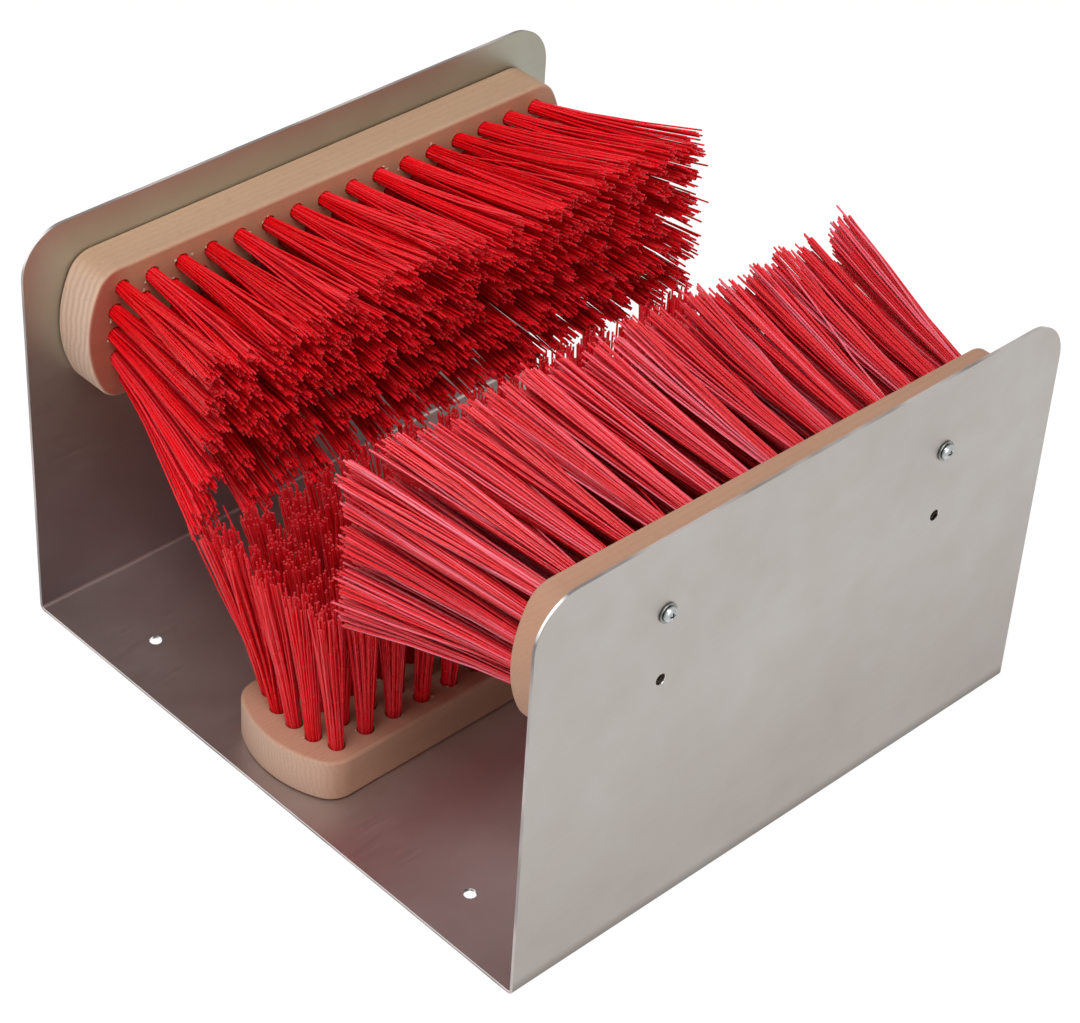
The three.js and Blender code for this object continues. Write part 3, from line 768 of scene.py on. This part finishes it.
def sheet_channel():
    shell = Shell()
    thickness, broken = SHEET_THICKNESS, SHEET_BREAK
    levels = [(broken, 0), (0, broken), (0, thickness - broken), (broken, thickness)]
    holes = blank_holes()
    for depth, side in ((0, 2), (thickness, 3)):
        inset = levels[0][0]
        outline = blank_outline(inset)
        loops = [circle(h[0], h[1], h[side] + inset, HOLE_STEPS) for h in holes]
        middles = [(h[0], h[1], h[side] + inset) for h in holes]
        along = HALF_LENGTH - inset
        cuts = [((s, -along), (s, along)) for s in fold_lines()]
        points, faces = filled(outline, loops, middles, cuts)
        shell.surface([folded(x, y, depth) for x, y in points], faces)
    rims = [[folded(x, y, d) for x, y in blank_outline(inset)] for inset, d in levels]
    shell.wall(rims, SHEARED)
    for x, y, outer, inner in holes:
        rims = []
        for inset, depth in levels:
            radius = outer + (inner - outer) * depth / thickness + inset
            rims.append([folded(px, py, depth) for px, py in circle(x, y, radius, HOLE_STEPS)])
        shell.wall(rims, DRILLED)
    made = shell.made("sheet_channel", [stainless(), sheared_edge(), drilled_edge()])
    smooth(made, SHEET_SMOOTH)
    return made


# Brush blocks

block_low, block_high, _ = cad_box("bottom_brush_block")
BLOCK_WIDTH = block_high.x - block_low.x
BLOCK_LENGTH = block_high.y - block_low.y
END_STEPS = 40
BLOCK_CORNER_STEPS = 12
EDGE_STEPS = 4
TUFT_HOLE_STEPS = 18


def row(x, length, count):
    return [(x, (i / (count - 1) - 0.5) * length) for i in range(count)]


def tuft_spots(wider=1, length=None):
    """The middles of all tufts, or with the rows farther apart and all of one length."""
    rows = [(0, MIDDLE_ROW_LENGTH, MIDDLE_ROW_TUFTS)]
    for side in (-1, 1):
        rows.append((side * INNER_ROW_OFFSET, INNER_ROW_LENGTH, INNER_ROW_TUFTS))
        rows.append((side * OUTER_ROW_OFFSET, OUTER_ROW_LENGTH, OUTER_ROW_TUFTS))
    return [spot for x, own, count in rows for spot in row(x * wider, length or own, count)]


def block_outline(inset):
    """Straight sides, crowned ends and round corners, all tangent to each other."""
    crown_y = BLOCK_LENGTH / 2 - END_RADIUS
    corner_x = BLOCK_WIDTH / 2 - CORNER_RADIUS
    reach = END_RADIUS - CORNER_RADIUS
    turn = math.asin(corner_x / reach)
    corner_y = crown_y + reach * math.cos(turn)
    quarter = math.pi / 2
    corner, crown = CORNER_RADIUS - inset, END_RADIUS - inset
    outline = []
    for end in (0, 2):
        side = 1 - end
        start = end * quarter
        first = (side * corner_x, side * corner_y, corner, start, start + quarter - turn)
        middle = (0, side * crown_y, crown, start + quarter - turn, start + quarter + turn)
        last_turns = (start + quarter + turn, start + 2 * quarter)
        last = (-side * corner_x, side * corner_y, corner, *last_turns)
        outline += arc(*first, BLOCK_CORNER_STEPS)[:-1]
        outline += arc(*middle, END_STEPS)[:-1]
        outline += arc(*last, BLOCK_CORNER_STEPS)
    return outline


def splinters(shell, middles, chance):
    """Fibres that the drill tore up at the rims of some holes, thin wedges that curl outwards."""
    for x, y in middles:
        if chance.random() > SPLINTER_SHARE:
            continue
        for _ in range(chance.integers(1, 3)):
            turn = chance.uniform(0, 2 * math.pi)
            spread = chance.uniform(*SPLINTER_SPREAD)
            length = chance.uniform(*SPLINTER_LENGTH)
            lift = chance.uniform(*SPLINTER_LIFT)
            points = []
            for share, width in SPLINTER_SECTIONS:
                out = TUFT_HOLE_RADIUS + TUFT_HOLE_BREAK - SPLINTER_ROOT[0] + length * share
                height = BLOCK_THICKNESS - SPLINTER_ROOT[1] + lift * math.sin(share * SPLINTER_CURL)
                for side, ridge in ((-1, 0), (1, 0), (0, SPLINTER_RIDGE)):
                    angle = turn + side * spread * width
                    px, py = x + out * math.cos(angle), y + out * math.sin(angle)
                    points.append((px, py, height + ridge * width))
            faces = []
            for low in (0, 3):
                for a, b in ((0, 2), (2, 1), (1, 0)):
                    faces.append((low + a, low + b, low + 3 + b, low + 3 + a))
            faces.append((0, 1, 2))
            faces.append((6, 8, 7))
            shell.surface(points, faces, TORN)


def brush_head(name, pilots, seed, **looks):
    """A drilled block. pilots are the middles of the holes in its back."""
    chance = np.random.default_rng(SEED + seed)
    shell = Shell()
    quarter = math.pi / 2
    turns = [quarter * i / EDGE_STEPS for i in range(EDGE_STEPS + 1)]
    insets = [EDGE_RADIUS * (1 - math.sin(t)) for t in turns]
    heights = [EDGE_RADIUS * (1 - math.cos(t)) for t in turns]
    rims = [[(x, y, h) for x, y in block_outline(i)] for i, h in zip(insets, heights)]
    for inset, height in zip(reversed(insets), reversed(heights)):
        top = BLOCK_THICKNESS - height
        rims.append([(x, y, top) for x, y in block_outline(inset)])
    shell.wall(rims)
    bore = SPARE_HOLE_DIAMETER / 2
    loops = [circle(x, y, bore, TUFT_HOLE_STEPS) for x, y in pilots]
    back, triangles = filled(block_outline(EDGE_RADIUS), loops, [(x, y, bore) for x, y in pilots])
    shell.surface([(x, y, 0) for x, y in back], triangles)
    for loop in loops:
        rims = [[(x, y, height) for x, y in loop] for height in (0, SPARE_PILOT_DEPTH)]
        shell.wall(rims, BORED)
        shell.cap(rims[-1], BORED)
    middles = tuft_spots()
    wide = TUFT_HOLE_RADIUS + TUFT_HOLE_BREAK
    loops = [circle(x, y, wide, TUFT_HOLE_STEPS) for x, y in middles]
    holes = [(x, y, wide) for x, y in middles]
    face, triangles = filled(block_outline(EDGE_RADIUS), loops, holes)
    shell.surface([(x, y, BLOCK_THICKNESS) for x, y in face], triangles)
    levels = [
        (wide, BLOCK_THICKNESS),
        (TUFT_HOLE_RADIUS, BLOCK_THICKNESS - TUFT_HOLE_BREAK),
        (TUFT_HOLE_RADIUS, BLOCK_THICKNESS - TUFT_HOLE_DEPTH),
    ]
    for x, y in middles:
        rims = []
        for radius, height in levels:
            rims.append([(px, py, height) for px, py in circle(x, y, radius, TUFT_HOLE_STEPS)])
        shell.wall(rims)
        shell.cap(rims[-1])
    splinters(shell, middles, chance)
    made = shell.made(name, [beech(f"beech {name}", seed, **looks), torn_fibre(), bored_wood()])
    smooth(made, WOOD_SMOOTH)
    return made


# Tufts


def kept_in_box(lines, place):
    """Lines in a brush's own axes, with what would leave the CAD box brought back into it."""
    turn, middle = np.array(place.to_3x3()), np.array(place.translation) / MM
    low, high = (np.array(corner) / MM for corner in cad_bounds)
    margin = BOX_CLEARANCE + FILAMENT_RADIUS
    whole = np.clip(lines @ turn.T + middle, low + margin, high - margin)
    return (whole - middle) @ turn


def filament_lines(drift, sag, place, chance):
    """The line of every filament as points from its root to its end, and its own shade. drift
    is where the middle of the ends is, sag is how much farther the rows towards +X reach, and
    place is where the brush goes."""
    middles = np.array(tuft_spots())
    tufts = len(middles)
    ends = np.array(tuft_spots(TIP_ROW_OFFSET / OUTER_ROW_OFFSET, TIP_ROW_LENGTH))
    ends[:, 0] += sag * np.clip(ends[:, 0] / TIP_ROW_OFFSET, 0, 1)
    ends = ends + drift + chance.normal(0, TUFT_LEAN, (tufts, 2))
    lengths = BRISTLE_LENGTH + chance.normal(0, LENGTH_SPREAD / 2, tufts)

    golden = math.pi * (3 - math.sqrt(5))
    numbers = np.arange(FILAMENTS)
    reach = np.sqrt((numbers + 0.5) / FILAMENTS)
    turns = numbers * golden + chance.uniform(0, 2 * math.pi, (tufts, 1))
    spots = np.stack([reach * np.cos(turns), reach * np.sin(turns)], 2)

    lock_turns = np.arange(LOCKS) * 2 * math.pi / LOCKS + chance.uniform(0, 2 * math.pi, (tufts, 1))
    locks = np.stack([np.cos(lock_turns), np.sin(lock_turns)], 2) * LOCK_OFFSET
    locks = np.concatenate([np.zeros((tufts, 1, 2)), locks], 1)
    away = np.linalg.norm(spots[:, :, None] - locks[:, None], axis=3)
    own = np.argmin(away, 2)
    middle = np.take_along_axis(locks, own[..., None], 1)
    lean = chance.normal(0, LOCK_LEAN, locks.shape)
    lean = np.take_along_axis(lean, own[..., None], 1)
    lock_shades = chance.normal(0, LOCK_SHADE_SPREAD, (tufts, LOCKS + 1))
    lock_shades = np.take_along_axis(lock_shades, own, 1)

    shape = (tufts, FILAMENTS)
    roots = middles[:, None] + spots * TUFT_RADIUS
    gathered = middle + (spots - middle) * LOCK_SPREAD
    scatter = chance.normal(0, TIP_SCATTER, (*shape, 2))
    tips = ends[:, None] + gathered * TIP_RADIUS + lean + scatter
    stray = chance.random(shape) < STRAY_SHARE
    tips += stray[..., None] * chance.normal(0, STRAY_SCATTER, (*shape, 2))
    tops = lengths[:, None] + chance.normal(0, LENGTH_SPREAD, shape)
    bows = chance.normal(0, BOW, (*shape, 2))

    lines = []
    for step in range(FILAMENT_STEPS + 1):
        share = step / FILAMENT_STEPS
        side = roots + (tips - roots) * share**FAN_POWER + bows * math.sin(math.pi * share) * share
        height = BLOCK_THICKNESS - FILAMENT_START + (tops + FILAMENT_START) * share
        lines.append(np.concatenate([side, height[..., None]], 2))
    lines = np.stack(lines, 2).reshape(-1, FILAMENT_STEPS + 1, 3)
    lines = kept_in_box(lines, place)
    shades = chance.normal(0.5, SHADE_SPREAD, shape) + lock_shades
    shades = np.clip(shades.ravel(), 0, 1)
    return lines, shades


def tufts(name, drift, sag, place, looks, seed):
    """All filaments of a brush as one mesh: a six-sided tube each, with a cut end."""
    chance = np.random.default_rng(SEED * 100 + seed)
    lines, shades = filament_lines(drift, sag, place, chance)
    count, rings, sides = len(lines), FILAMENT_STEPS + 1, FILAMENT_SIDES
    spin = chance.uniform(0, 2 * math.pi, count)
    angles = spin[:, None] + np.arange(sides) * 2 * math.pi / sides
    around = np.stack([np.cos(angles), np.sin(angles), np.zeros_like(angles)], 2)
    tube = lines[:, :, None] + around[:, None] * FILAMENT_RADIUS
    points = np.concatenate([tube.reshape(count, -1, 3), tube[:, -1]], 1)
    each = points.shape[1]

    pattern = []
    for ring in range(rings - 1):
        for side in range(sides):
            after = (side + 1) % sides
            low, high = ring * sides, (ring + 1) * sides
            pattern.append((low + side, low + after, high + after, high + side))
    pattern = np.array(pattern)
    cap = rings * sides + np.arange(sides)
    starts = np.arange(count)[:, None, None] * each
    faces = (starts + pattern).reshape(-1, 4).tolist()
    faces += (starts + cap).reshape(-1, sides).tolist()

    strand = np.zeros((count, each, 4), np.float32)
    strand[..., 0] = shades[:, None]
    strand[:, : rings * sides, 1] = np.repeat(np.linspace(0, 1, rings), sides)
    strand[:, rings * sides :, 2] = 1
    strand[..., 3] = 1

    mesh = bpy.data.meshes.new(name)
    mesh.from_pydata((points.reshape(-1, 3) * MM).tolist(), [], faces)
    layer = mesh.color_attributes.new("strand", "FLOAT_COLOR", "POINT")
    layer.data.foreach_set("color", strand.ravel())
    mesh.materials.append(bristle_plastic(f"red filament {name}", *looks))
    mesh.polygons.foreach_set("use_smooth", [True] * len(mesh.polygons))
    return added(name, mesh)


# Fasteners. Each is made with its head towards +Z and the face that it bears on at Z = 0.

FASTENER_STEPS = 40
DOME_STEPS = 8


def revolved(shell, profile):
    """Revolves (radius, height) points about Z. A radius of 0 closes the surface there."""
    loops = []
    for radius, height in profile:
        rim = circle(0, 0, max(radius, NARROWEST), FASTENER_STEPS)
        loops.append([(x, y, height) for x, y in rim])
    shell.wall(loops)


def cross_cutter(top):
    """A tapered cross, for the recess in a screw's head."""
    shell = Shell()
    loops = []
    for height, narrower in ((top + RECESS_OVERCUT, 1), (top - RECESS_DEPTH, RECESS_TAPER)):
        span, width = RECESS_SPAN / 2 * narrower, RECESS_WIDTH / 2 * narrower
        corner = [(span, -width), (span, width), (width, width)]
        loop = []
        for quarter in range(4):
            c, s = round(math.cos(quarter * math.pi / 2)), round(math.sin(quarter * math.pi / 2))
            loop += [(x * c - y * s, x * s + y * c, height) for x, y in corner]
        loops.append(loop)
    shell.wall(loops)
    shell.cap(loops[0])
    shell.cap(loops[1])
    return shell.made("recess_cutter", [])


def recessed(made, top):
    """made with the cross recess cut into its head."""
    cutter = cross_cutter(top)
    boolean = made.modifiers.new("recess", "BOOLEAN")
    boolean.operation, boolean.solver, boolean.object = "DIFFERENCE", "EXACT", cutter
    evaluated = made.evaluated_get(bpy.context.evaluated_depsgraph_get())
    mesh = bpy.data.meshes.new_from_object(evaluated)
    made.modifiers.clear()
    made.data = mesh
    bpy.data.objects.remove(cutter)
    return made


def screw(name, profile, top):
    """A zinc plated screw with a cross recess in its head, whose highest point is at top."""
    shell = Shell()
    revolved(shell, profile)
    made = shell.made(name, [zinc("bright zinc", SCREW_DARK, SCREW_BRIGHT)])
    made = recessed(made, top)
    smooth(made, FASTENER_SMOOTH)
    return made


def pan_screw(name):
    wide, rim = PAN_HEAD_RADIUS, PAN_HEAD_RIM
    profile = [(0, -SHANK_LENGTH), (SHANK_RADIUS, SHANK_POINT - SHANK_LENGTH), (SHANK_RADIUS, 0)]
    profile += [(wide - HEAD_BREAK, 0), (wide, HEAD_BREAK), (wide, rim)]
    for step in range(1, DOME_STEPS + 1):
        turn = step / DOME_STEPS * math.pi / 2
        height = rim + (PAN_HEAD_HEIGHT - rim) * math.sin(turn)
        profile.append((wide * math.cos(turn), height))
    return screw(name, profile, PAN_HEAD_HEIGHT)


def flat_screw(name):
    wide = FLAT_HEAD_RADIUS
    profile = [(0, -FLAT_SHANK_LENGTH), (SHANK_RADIUS, SHANK_POINT - FLAT_SHANK_LENGTH)]
    profile += [(SHANK_RADIUS, SHANK_RADIUS - wide), (wide, -HEAD_BREAK)]
    profile += [(wide - FLAT_HEAD_BREAK, 0), (0, 0)]
    return screw(name, profile, 0)


def washer(name):
    outer, bore, thick, broken = WASHER_RADIUS, WASHER_BORE, WASHER_THICKNESS, HEAD_BREAK
    profile = [(bore, 0), (outer - broken, 0), (outer, broken), (outer, thick - broken)]
    profile += [(outer - broken, thick), (bore, thick), (bore, 0)]
    shell = Shell()
    revolved(shell, profile)
    made = shell.made(name, [zinc("dull zinc", WASHER_DARK, WASHER_BRIGHT)])
    smooth(made, FASTENER_SMOOTH)
    return made


# Places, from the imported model


def turned(across, normal, origin):
    """The matrix that takes a piece's X to across, its Z to normal and its middle to origin."""
    x, z = Vector(across), Vector(normal)
    y = z.cross(x)
    rotation = Matrix((x, y, z)).transposed().to_4x4()
    return Matrix.Translation(Vector(origin) * MM) @ rotation


def brush_places():
    """For each brush, the matrix of its block, which stands on the middle of its back."""
    places = {}
    for name, side in (("left", -1), ("right", 1)):
        low, high, middle = cad_box(f"{name}_brush_block")
        back = high.x if side > 0 else low.x
        places[name] = turned((0, 0, side), (-side, 0, 0), (back, middle.y, middle.z))
    low, high, middle = cad_box("bottom_brush_block")
    places["bottom"] = turned((1, 0, 0), (0, 0, 1), (middle.x, middle.y, low.z))
    return places


def plate_point(place, y, z):
    """The x and y, in a side brush's own axes, of a point at that y and z of the whole."""
    point = Vector((place.translation.x, y * MM, z * MM))
    return tuple(place.inverted() @ point / MM)[:2]


def fitted(made, node, place=None):
    """Puts a piece where it goes, on the part's one body, in place of a CAD node."""
    if place is not None:
        made.matrix_world = place
    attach(made, "root")
    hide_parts(node)


fitted(sheet_channel(), "channel")

for number, (name, place) in enumerate(brush_places().items()):
    turn = Matrix.Rotation(math.radians(RIGHT_BRUSH_TURN if name == "right" else 0), 4, "Z")
    drift, pilots = (0, 0), []
    if name in SIDE_TIPS:
        drift = plate_point(place @ turn, *SIDE_TIPS[name])
        height = SIDE_HOLE_HEIGHT - SPARE_HOLE_DROP
        pilots = [plate_point(place @ turn, end * SIDE_HOLE_SPACING / 2, height) for end in (-1, 1)]
    head = brush_head(f"{name}_brush_head", pilots, number, **BEECH_LOOKS[name])
    sag = LEFT_SAG if name == "left" else 0
    bristles = tufts(f"{name}_tufts", drift, sag, place @ turn, BRISTLE_LOOKS[name], number)
    for piece, node, slot in ((head, "brush_block", "beech"), (bristles, "bristles", "bristles")):
        piece.data.transform(turn)
        fitted(piece, f"{name}_{node}", place)

for name, side in (("left", -1), ("right", 1)):
    for end in ("front", "rear"):
        for kind, maker in (("washer", washer), ("screw", pan_screw)):
            node = f"{name}_{kind}_{end}"
            low, high, middle = cad_box(node)
            if kind == "washer":
                seat = low.x if side > 0 else high.x
            else:
                seat = (high.x if side > 0 else low.x) - side * PAN_HEAD_HEIGHT
            place = turned((0, 0, -side), (side, 0, 0), (seat, middle.y, middle.z))
            fitted(maker(f"{name}_{kind}_{end}_turned"), node, place)

for end in ("front", "rear"):
    node = f"base_screw_{end}"
    low, high, middle = cad_box(node)
    place = turned((1, 0, 0), (0, 0, -1), (middle.x, middle.y, low.z))
    fitted(flat_screw(f"base_screw_{end}_turned"), node, place)


# Studio


def seen_directly(tree):
    """1 for rays that show a background: straight from the camera, in gloss or through glass."""
    rays = tree.nodes.new("ShaderNodeLightPath")
    total = rays.outputs["Is Camera Ray"]
    for kind in ("Is Glossy Ray", "Is Transmission Ray"):
        more = tree.nodes.new("ShaderNodeMath")
        more.operation = "ADD"
        more.use_clamp = True
        tree.links.new(total, more.inputs[0])
        tree.links.new(rays.outputs[kind], more.inputs[1])
        total = more.outputs["Value"]
    return total


def world():
    made = bpy.data.worlds.new("studio")
    made.use_nodes = True
    tree = made.node_tree
    tree.nodes.clear()
    output = tree.nodes.new("ShaderNodeOutputWorld")
    mix = tree.nodes.new("ShaderNodeMixShader")
    for socket, strength in ((1, WORLD_LIGHT), (2, 1.0)):
        background = tree.nodes.new("ShaderNodeBackground")
        background.inputs["Color"].default_value = (1, 1, 1, 1)
        background.inputs["Strength"].default_value = strength
        tree.links.new(background.outputs["Background"], mix.inputs[socket])
    tree.links.new(seen_directly(tree), mix.inputs["Fac"])
    tree.links.new(mix.outputs["Shader"], output.inputs["Surface"])
    bpy.context.scene.world = made


def floor():
    """A white floor that fades into the background and keeps the shadow."""
    mesh = bpy.data.meshes.new("floor")
    half = FLOOR_SIZE * MM / 2
    corners = [(-half, -half, 0), (half, -half, 0), (half, half, 0), (-half, half, 0)]
    mesh.from_pydata(corners, [], [(0, 1, 2, 3)])
    made = added("floor", mesh)
    made.location.z = -FLOOR_GAP * MM
    material = bpy.data.materials.new("white floor")
    material.use_nodes = True
    tree = material.node_tree
    tree.nodes.clear()
    output = tree.nodes.new("ShaderNodeOutputMaterial")
    mix = tree.nodes.new("ShaderNodeMixShader")
    share = tree.nodes.new("ShaderNodeMath")
    share.operation = "MULTIPLY"
    share.inputs[1].default_value = FLOOR_GLOW
    diffuse = tree.nodes.new("ShaderNodeBsdfDiffuse")
    diffuse.inputs["Color"].default_value = (*FLOOR_PAINT, 1)
    glow = tree.nodes.new("ShaderNodeEmission")
    glow.inputs["Strength"].default_value = FLOOR_WHITE
    tree.links.new(seen_directly(tree), share.inputs[0])
    tree.links.new(share.outputs["Value"], mix.inputs["Fac"])
    tree.links.new(diffuse.outputs["BSDF"], mix.inputs[1])
    tree.links.new(glow.outputs["Emission"], mix.inputs[2])
    tree.links.new(mix.outputs["Shader"], output.inputs["Surface"])
    mesh.materials.append(material)


def lamp(name, place, aim, size, power):
    light = bpy.data.lights.new(name, "AREA")
    light.shape = "RECTANGLE"
    light.size, light.size_y = (s * MM for s in size)
    light.energy = power
    made = added(name, light)
    made.location = Vector(place) * MM
    made.rotation_euler = (Vector(place) - Vector(aim)).to_track_quat("Z", "Y").to_euler()


def camera():
    made = added("camera", bpy.data.cameras.new("camera"))
    made.data.sensor_width = FRAME_WIDTH
    made.data.lens = CAMERA_LENS
    made.data.clip_end = CAMERA_SIGHT
    back = (Vector(CAMERA_PLACE) - Vector(CAMERA_AIM)).normalized()
    level = Vector((0, 0, 1)).cross(back).normalized()
    right = Matrix.Rotation(math.radians(CAMERA_ROLL), 3, back) @ level
    rotation = Matrix((right, back.cross(right), back)).transposed().to_4x4()
    made.matrix_world = Matrix.Translation(Vector(CAMERA_PLACE) * MM) @ rotation
    bpy.context.scene.camera = made


world()
floor()
for settings in LAMPS:
    lamp(*settings)
camera()
bpy.context.scene.view_settings.view_transform = "Standard"
